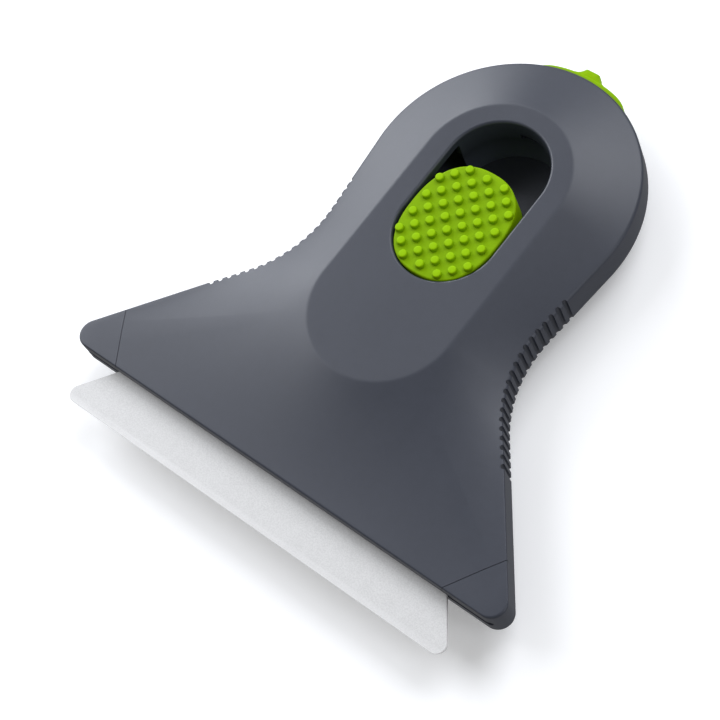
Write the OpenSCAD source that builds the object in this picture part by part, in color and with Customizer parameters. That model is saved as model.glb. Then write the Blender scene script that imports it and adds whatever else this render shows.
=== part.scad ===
/* [Housing outline] */
// Width across the two front corners before they are rounded
corner_w = 100; // [92:1:110]
// Angle of the flared sides from the length of the tool
flare_angle = 39.2; // [37:0.2:41]
// Radius of the front corners in plan
corner_r = 2.6; // [2.2:0.1:4]
// Radius of the hollow waist
waist_r = 23.5; // [20:0.5:25]
// Angle at which the sides open again behind the waist
taper_angle = 5.7; // [4:0.1:7]
// Radius of the rounded head
head_r = 24.6; // [24.2:0.1:26]
// Distance from the front edge to the centre of the head
head_y = 61.8; // [61.4:0.1:63]

/* [Housing section] */
// Height of the upright side wall
side_h = 5.6; // [5.4:0.1:7]
// Rise of the raised oval above the side wall, on the top and on the underside
bulge_h = 3.9; // [3.6:0.1:4.6]
// Wall thickness of the housing at the sides
wall = 2; // [1.8:0.1:2.2]
// Thickness of the roof of the cover and of the floor of the housing
roof_t = 1.6; // [1.4:0.1:1.7]
// Thickness of the cover at its eaves
eave_t = 1.2; // [1:0.1:1.3]
// Width of the rounding where the sides meet the top and the underside
edge_ease = 0.5; // [0.3:0.1:0.6]
// Height of the rim of the cover above the parting line
rim_h = 1; // [0.9:0.1:1.2]
// Exponent that hollows the slope the more, the longer it is: at zero it is straight all round
hollow_power = 0.5; // [0:0.05:0.6]

/* [Locating lip of the cover] */
// Gap between the lip and the wall of the housing
lip_gap = 0.15; // [0.1:0.05:0.25]
// Thickness of the lip
lip_t = 1.2; // [1:0.1:1.3]

/* [Raised oval] */
// Radius of both ends of the raised oval
oval_r = 13.8; // [13:0.1:14.5]
// Distance from the front edge to the centre of the oval's front end
oval_front_y = 32.9; // [32:0.1:35]
// Distance from the front edge to the centre of the oval's rear end
oval_rear_y = 61.7; // [60.5:0.1:62.5]

/* [Thumb slot] */
// Radius of both ends of the slot
slot_r = 9.5; // [9.2:0.05:9.7]
// Distance from the front edge to the front end of the slot
slot_y = 39.85; // [39.6:0.05:40]
// Width of the chamfer round the slot
slot_ease = 0.5; // [0.3:0.1:0.7]
// Gap between the thumb button and the sides of the slot
slot_gap = 0.35; // [0.25:0.05:0.5]
// Gap between the button and the front end of the slot
slot_front_gap = 0.4; // [0.35:0.05:0.5]
// Gap between the button and the rear end of the slot when the blade is in
slot_rear_gap = 0.65; // [0.45:0.05:0.7]
// Depth of the guard wall that hangs from the rear end of the slot
skirt_h = 3.2; // [2.4:0.1:3.2]
// Thickness of that guard wall
skirt_t = 1.3; // [1:0.1:1.5]
// Distance from the centre of the slot's rear end back to the guard wall
skirt_lead = 1.5; // [1:0.1:3]
// Width of the notch in the middle of the guard wall
skirt_notch_w = 5; // [4:0.5:6]
// Height of that notch
skirt_notch_h = 1.4; // [1:0.1:2]

/* [Waist grooves] */
// Number of grooves on each side
groove_count = 20; // [12:1:21]
// Distance from one groove to the next
groove_pitch = 1.63; // [1.4:0.01:1.7]
// Radius of a groove
groove_r = 0.45; // [0.3:0.05:0.5]
// Depth of a groove's middle behind the side wall
groove_sink = 0.15; // [0.1:0.05:0.3]
// Distance from the waist's rear end back to the first groove
groove_lead = 5.75; // [5:0.25:8]

/* [Corner guards and mouth] */
// Distance from the middle to the seam of a corner guard at the front edge
guard_x = 36.45; // [35:0.05:38]
// Angle of that seam from the length of the tool
guard_angle = 32.3; // [30:0.1:34]
// Width of the seam
seam_gap = 0.12; // [0.1:0.01:0.2]
// Height of the mouth in which the blade runs
mouth_h = 1.2; // [1:0.05:1.25]
// Length of the mouth past the seam of each corner guard
mouth_past = 9.4; // [8:0.1:9.8]
// Reach of the cover's toes under the corner guards
toe_reach = 1.6; // [1:0.1:2]
// Thickness of the toes
toe_t = 0.5; // [0.4:0.05:0.6]

/* [Ceramic blade] */
// Thickness of the blade
blade_t = 0.8; // [0.7:0.05:0.85]
// Reach of the cutting edge past the front edge when the blade is out
blade_out = 8.75; // [7.5:0.25:9]
// Width of the cutting edge before its corners are rounded
blade_w = 87.6; // [84:0.1:88]
// Depth of the blade from its cutting edge to its rear edge
blade_depth = 20.8; // [20.4:0.1:21.4]
// Angle of the blade's flared ends from the length of the tool
blade_angle = 38.4; // [36:0.2:40]
// Radius of the blade's front corners
blade_corner_r = 2.2; // [1.5:0.1:3]
// Length of the ground bevel on the underside
bevel_l = 1.6; // [1:0.1:2]
// Thickness left at the cutting edge
edge_t = 0.15; // [0.1:0.05:0.2]
// Clearance of the holes round the locating pins
hole_gap = 0.1; // [0.05:0.05:0.15]
// Distance from the front edge back to the holes when the blade is out
hole_y = 8; // [7.6:0.1:8.2]

/* [Slide] */
// Travel of the button and the blade
travel = 9.2; // [8.9:0.1:9.3]
// Running gap above and below the carrier's tongue
run_gap = 0.1; // [0.06:0.01:0.12]
// Running gap at each side of the tongue
side_gap = 0.15; // [0.1:0.05:0.2]
// Clearance of a screw or a pin in its hole
fit_gap = 0.05; // [0.03:0.01:0.08]

/* [Carrier plate] */
// Thickness of the carrier plate
plate_t = 0.75; // [0.65:0.05:0.75]
// Gap between the wings of the carrier and the front lip
wing_gap = 0.4; // [0.3:0.05:0.6]
// Depth of the wings from front to back
wing_depth = 10.6; // [10:0.1:10.8]
// Distance that the blade stands out past the ends of the wings
wing_inset = 0.8; // [0.4:0.1:1.2]
// Width of the tongue between the guides
tongue_w = 19.2; // [18.8:0.1:19.4]
// Length of the tongue past the rear end of the guides
tongue_past = 0.8; // [0.5:0.1:1]
// Width of the heel under the slider block
heel_w = 15; // [13:0.5:15.5]
// Distance from the rear end of the button forward to the rear end of the heel
heel_inset = 4.6; // [4.4:0.1:6]

/* [Locating pins and clamp] */
// Radius of the locating pins
pin_r = 1.9; // [1.7:0.05:2]
// Radius of the heads of the pins
pin_head_r = 2.6; // [2.4:0.1:2.8]
// Thickness of the heads of the pins
pin_head_t = 0.4; // [0.3:0.05:0.5]
// Thickness of the blade clamp
clamp_t = 0.5; // [0.4:0.05:0.55]
// Length of the blade clamp across the tool
clamp_w = 48; // [46:0.5:50]
// Metal left between the clamp's wide holes and its ends
clamp_end = 1.5; // [1.2:0.1:2]
// Distance from the pins to the front and to the rear of the clamp
clamp_reach = 4.1; // [3.6:0.1:4.2]
// Sideways travel that frees the clamp from the heads
keyhole_shift = 4.8; // [4.6:0.1:5]
// Clearance of the clamp round the pins and their heads
keyhole_gap = 0.1; // [0.05:0.05:0.2]

/* [Thumb button] */
// Length of the button along the tool
button_l = 21.8; // [21.2:0.1:21.9]
// Depth of the button below the raised oval
button_h = 5.5; // [4.8:0.1:5.6]
// Wall thickness of the button
button_wall = 1.5; // [1.2:0.1:1.7]
// Thickness of the top of the button
button_top_t = 1.2; // [1.1:0.1:1.6]
// Depth of the top of the button below the raised oval
button_drop = 0.3; // [0.2:0.05:0.4]
// Exponent of the button's rounded oval outline
oval_power = 2.4; // [2.2:0.1:2.5]
// Distance between neighbouring studs
stud_pitch = 2.62; // [2.4:0.02:2.8]
// Radius of a stud at its foot
stud_r = 0.85; // [0.8:0.05:0.9]
// Radius of a stud at its flat end
stud_end_r = 0.74; // [0.6:0.02:0.78]
// Height of a stud
stud_h = 0.75; // [0.6:0.05:0.85]
// Share of the button's outline that the middles of the studs may fill
stud_field_share = 0.94; // [0.9:0.01:0.95]

/* [Guides] */
// Distance from the front edge to the front of the guides
guide_y = 23; // [22.8:0.1:23.2]
// Length of the guides
guide_l = 15.5; // [14:0.5:15.5]
// Width of a guide beside the tongue
guide_w = 3.85; // [3.7:0.05:4]
// Overlap of a guide's lip over the tongue
guide_lip = 1.2; // [1:0.05:1.4]
// Thickness of that lip
guide_lip_t = 0.95; // [0.8:0.05:1]
// Width of the rib in the housing on which the tongue runs
rail_w = 1.4; // [1.2:0.1:1.8]
// Distance from the ends of a guide to its screws
guide_screw_inset = 3.5; // [3:0.1:4]

/* [Small screws] */
// Radius of the shanks of the small screws
small_r = 0.8; // [0.7:0.05:0.9]
// Radius of the heads of the small screws
small_head_r = 1.5; // [1.4:0.05:1.6]
// Thickness of the heads of the small screws
small_head_t = 0.8; // [0.6:0.1:0.8]
// Depth of the small screws in the housing
small_grip = 2.3; // [1.8:0.1:2.4]

/* [Detent] */
// Thickness of the detent spring
leaf_t = 0.3; // [0.25:0.05:0.35]
// Width of the detent spring
leaf_w = 4; // [3.6:0.2:5]
// Height of the pedestal under the detent spring above the rest face
leaf_z = 4.2; // [4.1:0.1:4.3]
// Distance from the front of the guides to the detent screw
leaf_lead = 2; // [1.8:0.1:2.4]
// Distance from the detent screw to the bump
leaf_reach = 9; // [8.4:0.1:9.4]
// Length of the spring past the screw and past the bump
leaf_end = 2.2; // [2:0.1:2.4]
// Radius of the bump
bump_r = 0.9; // [0.8:0.05:0.95]
// Width of the bump
bump_w = 1.6; // [1.2:0.1:1.6]
// Reach of the bump into the carrier's hole
bump_grip = 0.35; // [0.25:0.05:0.4]
// Radius of the detent holes in the tongue
detent_r = 1.25; // [1.2:0.05:1.35]

/* [Slider block] */
// Gap between the block and the inside of the button
block_gap = 0.05; // [0.03:0.01:0.08]
// Radius of the carrier screws
carrier_r = 1.1; // [1:0.05:1.25]
// Radius of the heads of the carrier screws
carrier_head_r = 2; // [1.8:0.1:2.3]
// Thickness of the heads of the carrier screws
carrier_head_t = 0.7; // [0.6:0.1:0.9]
// Depth of the carrier screws in the block
carrier_grip = 3.6; // [3:0.1:4]
// Distance between the two carrier screws
carrier_span = 8; // [7:0.5:8.5]

/* [Rear block] */
// Distance from the front edge to the face of the rear block
block_y = 67.4; // [67.1:0.1:67.6]
// Radius of the well behind the button
well_r = 9.95; // [9.9:0.05:10.1]
// Height of the catch channel's floor above the rest face
channel_z = 4.9; // [4.8:0.1:5.1]
// Thickness of the gate between the catch's foot and its plate
gate_t = 4; // [3.8:0.1:4.1]
// Gap left between the gate and the plate when the catch is pressed in
gate_gap = 0.23; // [0.18:0.01:0.3]

/* [Cover catch] */
// Width of the curved plate of the catch
catch_w = 19.4; // [19:0.1:19.6]
// Distance that the catch stands out of the head
catch_proud = 1; // [0.8:0.1:1.1]
// Thickness of the curved plate of the catch
catch_t = 2.8; // [2.6:0.1:2.9]
// Gap all round the catch
catch_gap = 0.12; // [0.1:0.01:0.15]
// Travel of the catch when it is pressed in
catch_travel = 1.2; // [1.1:0.05:1.25]
// Reach of the nub past the plate
nub_l = 1.4; // [1:0.1:1.6]
// Width of the nub at its foot
nub_foot_w = 5.3; // [4.5:0.1:6]
// Width of the nub at its end
nub_end_w = 3; // [2.4:0.1:3.4]
// Distance from the nub to the top and the bottom of the plate
nub_inset = 0.4; // [0.3:0.1:0.6]
// Width of the stem of the catch
stem_w = 9.2; // [8.9:0.1:9.4]
// Width of the foot that keeps the catch in
foot_w = 13; // [12.5:0.1:13.2]
// Thickness of that foot
foot_t = 1.5; // [1.3:0.1:1.6]

/* [Latch] */
// Width of the latch tab of the cover
tab_w = 4.4; // [4:0.1:4.6]
// Thickness of the latch tab
tab_t = 1.2; // [1.1:0.1:1.3]
// Distance from the rear face of the gate forward to the latch tab
tab_lead = 2; // [1.9:0.05:2.1]
// Height of the end of the tab above the channel's floor
tab_clear = 0.7; // [0.5:0.1:0.9]
// Reach of the hook at the end of the tab
hook_l = 0.9; // [0.7:0.05:0.95]
// Height of the hook
hook_h = 0.9; // [0.8:0.05:1]
// Gap round the tab and its hook inside the catch
latch_gap = 0.2; // [0.15:0.05:0.25]

/* [Catch springs] */
// Radius of the spring wire
wire_r = 0.22; // [0.18:0.01:0.24]
// Mean radius of a coil
coil_r = 0.95; // [0.85:0.05:1]
// Number of turns
coil_turns = 4.5; // [3:0.5:5]
// Depth of the spring pockets in the gate
pocket_l = 3; // [2.5:0.1:3.2]
// Distance from the middle to each spring
spring_x = 7.1; // [7:0.05:7.2]
// Clearance between a coil and its pocket
pocket_gap = 0.2; // [0.1:0.05:0.25]

/* [Hidden] */
$fn = 48;

// Counts that set how finely the curved skins are divided
front_steps = 8;
corner_steps = 6;
flare_steps = 3;
waist_steps = 10;
taper_steps = 2;
head_steps = 18;
ease_steps = 3;
slope_steps = 4;
hollow_steps = 3;
oval_steps = 64;
bump_steps = 12;
groove_sides = 12;
stud_sides = 20;
coil_steps = 12;
wire_sides = 6;

// Overrun of a cut past the face that it opens, and sinking of a joined piece into its carrier
over = 0.4;
weld = 0.2;

// Shares: inner corners' least radius, depth and width of a screw's driving slot
tight_share = 0.15;
slot_depth_share = 0.5;
slot_width_share = 0.35;

// Heights above the rest face
top_z = side_h + 2 * bulge_h;
edge_z = side_h + bulge_h;
part_z = edge_z - rim_h;
eave_z = edge_z - eave_t;
roof_z = top_z - roof_t;
floor_z = roof_t;
mid_z = top_z / 2;
mouth_z = mid_z - mouth_h / 2;
lip_z = mouth_z + mouth_h;
blade_z = mid_z - blade_t / 2;
plate_z = blade_z - plate_t;
rail_z = plate_z - run_gap;
clamp_z = blade_z + blade_t;
button_z = top_z - button_h;
button_top_z = top_z - button_drop;
shelf_z = lip_z - latch_gap;
gate_z = part_z - catch_gap;
catch_z = channel_z + catch_gap;
catch_top_z = part_z - catch_gap;
skirt_z = roof_z - skirt_h;
tab_z = channel_z + tab_clear;
bar_z = tab_z + hook_h + latch_gap;
bump_z = plate_z + bump_grip;

// Places along the tool, from the front edge
origin_y = (oval_front_y + oval_rear_y) / 2;
button_y = slot_y + slot_front_gap + button_l / 2;
slot_front_y = slot_y + slot_r;
slot_rear_y = button_y + button_l / 2 + travel + slot_rear_gap - slot_r;
wing_y = wall + wing_gap;
tongue_end_y = guide_y + guide_l + tongue_past;
heel_y = button_y + button_l / 2 - heel_inset;
leaf_y = guide_y + leaf_lead;
bump_y = leaf_y + leaf_reach;
head_end_y = head_y + head_r;

// Widths, radii and depths that follow from the sizes above
lip_d = wall + lip_gap;
cavity_d = lip_d + lip_t;
tongue_x = tongue_w / 2;
guide_x = tongue_x + side_gap;
rail_x = tongue_x - rail_w;
guide_screw_x = guide_x + guide_w / 2;
pin_x = clamp_w / 2 - clamp_end - keyhole_gap - pin_head_r - keyhole_shift;
button_a = slot_r - slot_gap;
button_b = button_l / 2;
mouth_x = guard_x + mouth_past;
catch_r = head_r + catch_proud;
catch_in_r = catch_r - catch_t;
pocket_r = coil_r + wire_r + pocket_gap;
spring_z = channel_z + pocket_r + wire_r;
coil_out_x = spring_x + coil_r + wire_r;
seat_y = head_y + sqrt(catch_in_r * catch_in_r - coil_out_x * coil_out_x) - wire_r;
plate_end_y = head_y + sqrt(catch_in_r * catch_in_r - catch_w * catch_w / 4);
gate_y = plate_end_y - catch_travel - gate_gap;
foot_end_y = gate_y - gate_t - run_gap;
foot_y = foot_end_y - foot_t;
chamber_y = foot_y - catch_travel - latch_gap;
tab_y = gate_y - tab_lead;
tab_end_y = tab_y + tab_t;
spring_y = gate_y - pocket_l;
stud_step = stud_pitch / sqrt(2);
stud_rows = ceil(button_b / stud_step);
rear_run = head_r - oval_r;

// Centres of the outline's arcs: the waist's touches both of the side's straight runs
head = [0, head_y];
flare_run = cos(flare_angle) * corner_w / 2 + waist_r;
taper_run = head_r - sin(taper_angle) * head_y + waist_r;
waist = [
  (flare_run * sin(taper_angle) + taper_run * sin(flare_angle)) / sin(flare_angle + taper_angle),
  (flare_run * cos(taper_angle) - taper_run * cos(flare_angle)) / sin(flare_angle + taper_angle)
];
waist_l = waist_r * (flare_angle + taper_angle) * PI / 180;

function turn(angle) = [cos(angle), sin(angle)];
function blend(a, b, share) = a + (b - a) * share;
function lifted(p, z) = [p[0], p[1], z];

// A right half outline and its mirror image, joined to one loop
function loop(half) =
  concat(half, [for (i = [len(half) - 2:-1:1]) [-half[i][0], half[i][1]]]);

// Centre of the front corner's arc where the outline is drawn in by a distance
function corner_radius(inset) = max(corner_r - inset, corner_r * tight_share);
function corner_centre(inset) = [
  corner_w / 2 - inset * (1 + sin(flare_angle)) / cos(flare_angle)
    - corner_radius(inset) / tan((90 - flare_angle) / 2),
  inset + corner_radius(inset)
];

// Outline of the housing drawn in by a distance: the right half from front to rear
function half_outline(inset) =
  let(
    corner = corner_centre(inset),
    flare_start = corner + corner_radius(inset) * turn(flare_angle),
    flare_end = waist - (waist_r + inset) * turn(flare_angle),
    taper_start = waist - (waist_r + inset) * turn(-taper_angle),
    taper_end = head + (head_r - inset) * turn(-taper_angle)
  )
  concat(
    [for (i = [0:front_steps - 1]) [corner[0] * i / front_steps, inset]],
    [for (i = [0:corner_steps - 1])
      corner + corner_radius(inset) * turn(blend(-90, flare_angle, i / corner_steps))],
    [for (i = [0:flare_steps - 1]) blend(flare_start, flare_end, i / flare_steps)],
    [for (i = [0:waist_steps - 1])
      waist - (waist_r + inset) * turn(blend(flare_angle, -taper_angle, i / waist_steps))],
    [for (i = [0:taper_steps - 1]) blend(taper_start, taper_end, i / taper_steps)],
    [for (i = [0:head_steps])
      head + (head_r - inset) * turn(blend(-taper_angle, 90, i / head_steps))]
  );

function outline(inset) = loop(half_outline(inset));

// Point of the raised oval that lies nearest to a point of the outline
function oval_seat(p) = [0, min(max(p[1], oval_front_y), oval_rear_y)];
function oval_dir(p) = (p - oval_seat(p)) / norm(p - oval_seat(p));
function oval_point(p, r) = oval_seat(p) + r * oval_dir(p);

// Share of the height reached on the slope, whose foot is a point of the outline
function run_of(p) = norm(p - oval_seat(p)) - oval_r;
function rise(p, share) = pow(share, pow(run_of(p) / rear_run, hollow_power));

// Ring of the rounded edge, from the side wall up onto the slope
function ease_ring(points, share) = [for (p = points)
  let(end_rise = bulge_h * rise(p, edge_ease / run_of(p)))
  lifted(p - oval_dir(p) * edge_ease * share * share,
    edge_z + end_rise * share * share - edge_ease * (1 - share) * (1 - share))];

// Ring of the slope between the rounded edge and the raised oval
function slope_ring(points, share) = [for (p = points)
  let(part = blend(edge_ease / run_of(p), 1, share))
  lifted(blend(p, oval_point(p, oval_r), part), edge_z + bulge_h * rise(p, part))];

// Ring of the inner slope under the roof
function hollow_ring(points, r, share) = [for (p = points)
  lifted(blend(p, oval_point(p, r), share), blend(eave_z, roof_z, rise(p, share)))];

function level_ring(points, z) = [for (p = points) lifted(p, z)];

// Closed skin over rings with equal numbers of points; each end is a fan round its middle
function ring_middle(ring) = (ring[0] + ring[len(ring) / 2]) / 2;
module skin(rings) {
  n = len(rings[0]);
  last = (len(rings) - 1) * n;
  low = last + n;
  high = low + 1;
  polyhedron(
    points = concat(
      [for (ring = rings) each ring],
      [ring_middle(rings[0]), ring_middle(rings[len(rings) - 1])]
    ),
    faces = concat(
      [for (i = [0:n - 1]) [low, i, (i + 1) % n]],
      [for (i = [0:n - 1]) [high, last + (i + 1) % n, last + i]],
      [for (k = [0:len(rings) - 2], i = [0:n - 1]) [k * n + i, k * n + n + i, k * n + n + (i + 1) % n]],
      [for (k = [0:len(rings) - 2], i = [0:n - 1]) [k * n + i, k * n + n + (i + 1) % n, k * n + (i + 1) % n]]
    )
  );
}

// Outer body from a base height up over the rounded edge and the slope to the oval
module bulge(base_z) {
  points = outline(0);
  skin(concat(
    [level_ring(points, base_z)],
    [for (i = [0:ease_steps - 1]) ease_ring(points, i / ease_steps)],
    [for (i = [0:slope_steps]) slope_ring(points, i / slope_steps)]
  ));
}

// Hollow inside that body, with upright sides up to the eaves
module hollow(inset, base_z, ceiling_r) {
  points = outline(inset);
  skin(concat(
    [level_ring(points, base_z)],
    [for (i = [0:hollow_steps]) hollow_ring(points, ceiling_r, i / hollow_steps)]
  ));
}

// The same body upside down, for the underside of the tool
module underside() {
  translate([0, 0, top_z]) mirror([0, 0, 1]) children();
}

// Moves what is drawn from the front edge to the middle of the oval
module placed() {
  translate([0, -origin_y, 0]) children();
}

// Box from its lowest corner to its highest
module box(low, high) {
  translate(low) cube(high - low);
}

module both_sides() {
  children();
  mirror([1, 0, 0]) children();
}

// Upright prism over a list of points
module prism(points, low, high) {
  translate([0, 0, low]) linear_extrude(high - low) polygon(points);
}

module rod(x, y, r, low, high) {
  translate([x, y, low]) cylinder(r = r, h = high - low);
}

// Place of a groove, measured along the side from behind the waist to the flare
function groove_point(along) =
  let(r = waist_r + groove_sink)
  along < groove_lead
    ? waist - r * turn(-taper_angle) + (groove_lead - along) * [sin(taper_angle), cos(taper_angle)]
    : along < groove_lead + waist_l
      ? waist - r * turn(blend(-taper_angle, flare_angle, (along - groove_lead) / waist_l))
      : waist - r * turn(flare_angle)
        + (along - groove_lead - waist_l) * [sin(flare_angle), -cos(flare_angle)];

module grooves() {
  both_sides() for (i = [0:groove_count - 1]) {
    p = groove_point(i * groove_pitch);
    translate([p[0], p[1], -over]) cylinder(r = groove_r, h = top_z + 2 * over, $fn = groove_sides);
  }
}

// Everything past the seam of a corner guard, moved outwards by a gap
function seam_x(y, gap) = guard_x + gap + tan(guard_angle) * y;
module past_seam(gap, low, high) {
  far_y = guard_x;
  both_sides() prism([
    [seam_x(-over, gap), -over],
    [corner_w, -over],
    [corner_w, far_y],
    [seam_x(far_y, gap), far_y]
  ], low, high);
}

// Strip along the front edge between the two seams
module front_strip(gap, front_y, rear_y, low, high) {
  prism([
    [-seam_x(front_y, gap), front_y],
    [seam_x(front_y, gap), front_y],
    [seam_x(rear_y, gap), rear_y],
    [-seam_x(rear_y, gap), rear_y]
  ], low, high);
}

// Long hole with round ends along the tool
module long_hole(r, low, high) {
  rod(0, slot_front_y, r, low, high);
  rod(0, slot_rear_y, r, low, high);
  box([-r, slot_front_y, low], [r, slot_rear_y, high]);
}

module slot_chamfer() {
  flare = slot_ease + over;
  low = top_z - slot_ease;
  for (y = [slot_front_y, slot_rear_y]) {
    translate([0, y, low]) cylinder(r1 = slot_r, r2 = slot_r + flare, h = flare);
  }
  translate([0, slot_rear_y, low]) rotate([90, 0, 0]) linear_extrude(slot_rear_y - slot_front_y)
    polygon([[-slot_r, 0], [slot_r, 0], [slot_r + flare, flare], [-slot_r - flare, flare]]);
}

// Guard wall that hangs round the rear end of the slot
module skirt() {
  reach = slot_r + skirt_t;
  intersection() {
    rod(0, slot_rear_y, reach, skirt_z, roof_z + weld);
    box([-reach, slot_rear_y + skirt_lead, skirt_z], [reach, slot_rear_y + reach, roof_z + weld]);
  }
}

// Height of the cover's inner slope above a place behind the oval
function ceiling_z(y) =
  let(slope_end_y = head_end_y - cavity_d)
  blend(eave_z, roof_z, min(1, (slope_end_y - y) / (slope_end_y - oval_rear_y - oval_r)));

// Latch tab, which hangs from that slope
module latch_tab() {
  box([-tab_w / 2, tab_y, tab_z], [tab_w / 2, tab_end_y, ceiling_z(tab_y) + weld]);
  box([-tab_w / 2, tab_y - hook_l, tab_z], [tab_w / 2, tab_end_y, tab_z + hook_h]);
}

// Lip inside the wall of the housing, with toes that run on under the corner guards
module cover_lip() {
  difference() {
    prism(outline(lip_d), lip_z, part_z + weld);
    past_seam(-seam_gap / 2, lip_z - over, part_z + over);
  }
  difference() {
    prism(outline(lip_d), part_z - run_gap - toe_t, part_z - run_gap);
    past_seam(toe_reach, lip_z - over, part_z + over);
  }
  front_strip(-seam_gap / 2, 0, lip_d + weld, lip_z, part_z + weld);
}

module top_cover() {
  color([0.35, 0.35, 0.39]) placed() difference() {
    union() {
      difference() {
        union() {
          difference() {
            bulge(part_z);
            past_seam(-seam_gap / 2, part_z - over, top_z);
          }
          cover_lip();
        }
        hollow(cavity_d, lip_z - over, oval_r);
        box([-catch_w / 2 - wall, gate_y - wall, lip_z - over],
          [catch_w / 2 + wall, head_end_y, part_z]);
      }
      skirt();
      latch_tab();
    }
    long_hole(slot_r, skirt_z - over, top_z + over);
    slot_chamfer();
    box([-skirt_notch_w / 2, slot_rear_y, skirt_z - over],
      [skirt_notch_w / 2, slot_rear_y + slot_r + skirt_t + over, skirt_z + skirt_notch_h]);
    grooves();
  }
}

module well() {
  rod(0, slot_rear_y, well_r, floor_z, part_z + over);
}

// Solid parts that stand inside the housing
module rear_block() {
  difference() {
    union() {
      box([-head_r, block_y, 0], [head_r, head_end_y, shelf_z]);
      box([-catch_w / 2 - catch_gap, slot_rear_y, 0], [catch_w / 2 + catch_gap, gate_y, gate_z]);
    }
    well();
  }
}

module guide_ribs() {
  both_sides() box([rail_x, guide_y, 0], [guide_x + guide_w, guide_y + guide_l, rail_z]);
}

module leaf_pedestal() {
  box([-leaf_w / 2, leaf_y - leaf_end, 0], [leaf_w / 2, leaf_y + leaf_end, leaf_z]);
}

// Hollow of the housing round those parts
module housing_hollow() {
  difference() {
    underside() hollow(wall, top_z - part_z - over, oval_r - roof_t);
    rear_block();
    guide_ribs();
    leaf_pedestal();
  }
}

// Channel, chamber and window of the catch, and the pockets of its springs
module catch_room() {
  stem_x = stem_w / 2 + catch_gap;
  foot_x = foot_w / 2 + catch_gap;
  window_x = catch_w / 2 + catch_gap;
  high = part_z + over;
  box([-foot_x, chamber_y, channel_z], [foot_x, foot_end_y + run_gap, high]);
  box([-stem_x, foot_end_y, channel_z], [stem_x, gate_y + weld, high]);
  box([-window_x, gate_y, channel_z], [window_x, head_end_y + over, high]);
  both_sides() translate([spring_x, gate_y + weld, spring_z]) rotate([90, 0, 0])
    cylinder(r = pocket_r, h = pocket_l + weld);
}

module mouth() {
  end_x = mouth_x - mouth_h / 2;
  box([-end_x, -over, mouth_z], [end_x, wall + weld, lip_z]);
  both_sides() translate([end_x, wall + weld, mid_z]) rotate([90, 0, 0])
    cylinder(r = mouth_h / 2, h = wall + weld + over);
}

// Top of the corner guards, which carries on the line of the cover
module guard_tops() {
  difference() {
    intersection() {
      bulge(part_z - weld);
      past_seam(seam_gap / 2, part_z - weld, top_z);
    }
    hollow(cavity_d, part_z - over, oval_r);
    prism(outline(wall), part_z - over, part_z);
  }
}

module lower_housing() {
  color([0.32, 0.32, 0.36]) placed() difference() {
    union() {
      difference() {
        underside() bulge(top_z - part_z);
        housing_hollow();
        front_strip(seam_gap / 2, -over, wall + weld, mouth_z, part_z + over);
      }
      guard_tops();
    }
    mouth();
    catch_room();
    grooves();
    both_sides() for (y = [guide_screw_inset, guide_l - guide_screw_inset]) {
      rod(guide_screw_x, guide_y + y, small_r + fit_gap, rail_z - small_grip - fit_gap, rail_z + over);
    }
    rod(0, leaf_y, small_r + fit_gap, leaf_z - small_grip - fit_gap, leaf_z + over);
  }
}

// Screw with the seat of its slotted head at height zero
module screw(r, length, cap_r, cap_t) {
  difference() {
    union() {
      translate([0, 0, -length]) cylinder(r = r, h = length + weld);
      cylinder(r = cap_r, h = cap_t);
    }
    box([-cap_r - over, -cap_t * slot_width_share, cap_t * (1 - slot_depth_share)],
      [cap_r + over, cap_t * slot_width_share, cap_t + over]);
  }
}

module guide() {
  difference() {
    union() {
      box([guide_x, guide_y, rail_z], [guide_x + guide_w, guide_y + guide_l, blade_z + run_gap + weld]);
      box([tongue_x - guide_lip, guide_y, blade_z + run_gap],
        [guide_x + guide_w, guide_y + guide_l, blade_z + run_gap + guide_lip_t]);
    }
    for (y = [guide_screw_inset, guide_l - guide_screw_inset]) {
      rod(guide_screw_x, guide_y + y, small_r + fit_gap, rail_z - over, blade_z + run_gap + guide_lip_t + over);
    }
  }
}

module guide_right() {
  color([0.9, 0.9, 0.88]) placed() guide();
}

module guide_left() {
  color([0.9, 0.9, 0.88]) placed() mirror([1, 0, 0]) guide();
}

module guide_screws() {
  seat = blade_z + run_gap + guide_lip_t;
  color([0.75, 0.75, 0.77]) placed() both_sides()
    for (y = [guide_screw_inset, guide_l - guide_screw_inset]) {
      translate([guide_screw_x, guide_y + y, seat])
        screw(small_r, seat - rail_z + small_grip, small_head_r, small_head_t);
    }
}

// Leaf spring, screwed down at its front end, with a round ridge near its free end
module detent_spring() {
  ridge = concat(
    [[bump_y + bump_r, leaf_z + leaf_t / 2]],
    [for (i = [0:bump_steps]) [bump_y, bump_z - bump_r] + bump_r * turn(180 * i / bump_steps)],
    [[bump_y - bump_r, leaf_z + leaf_t / 2]]
  );
  color([0.7, 0.7, 0.72]) placed() {
    difference() {
      box([-leaf_w / 2, leaf_y - leaf_end, leaf_z], [leaf_w / 2, bump_y + leaf_end, leaf_z + leaf_t]);
      rod(0, leaf_y, small_r + fit_gap, leaf_z - over, leaf_z + leaf_t + over);
    }
    translate([-bump_w / 2, 0, 0]) rotate([90, 0, 90]) linear_extrude(bump_w) polygon(ridge);
  }
}

module detent_screw() {
  color([0.75, 0.75, 0.77]) placed() translate([0, leaf_y, leaf_z + leaf_t])
    screw(small_r, leaf_t + small_grip, small_head_r, small_head_t);
}

// Plate outline that narrows from a front edge to a rear edge
function flared(front_y, rear_y, width, angle, r) =
  let(centre = [width / 2 - r / tan((90 - angle) / 2), front_y + r])
  loop(concat(
    [[0, front_y]],
    [for (i = [0:corner_steps]) centre + r * turn(blend(-90, angle, i / corner_steps))],
    [[width / 2 - (rear_y - front_y) * tan(angle), rear_y], [0, rear_y]]
  ));

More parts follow.
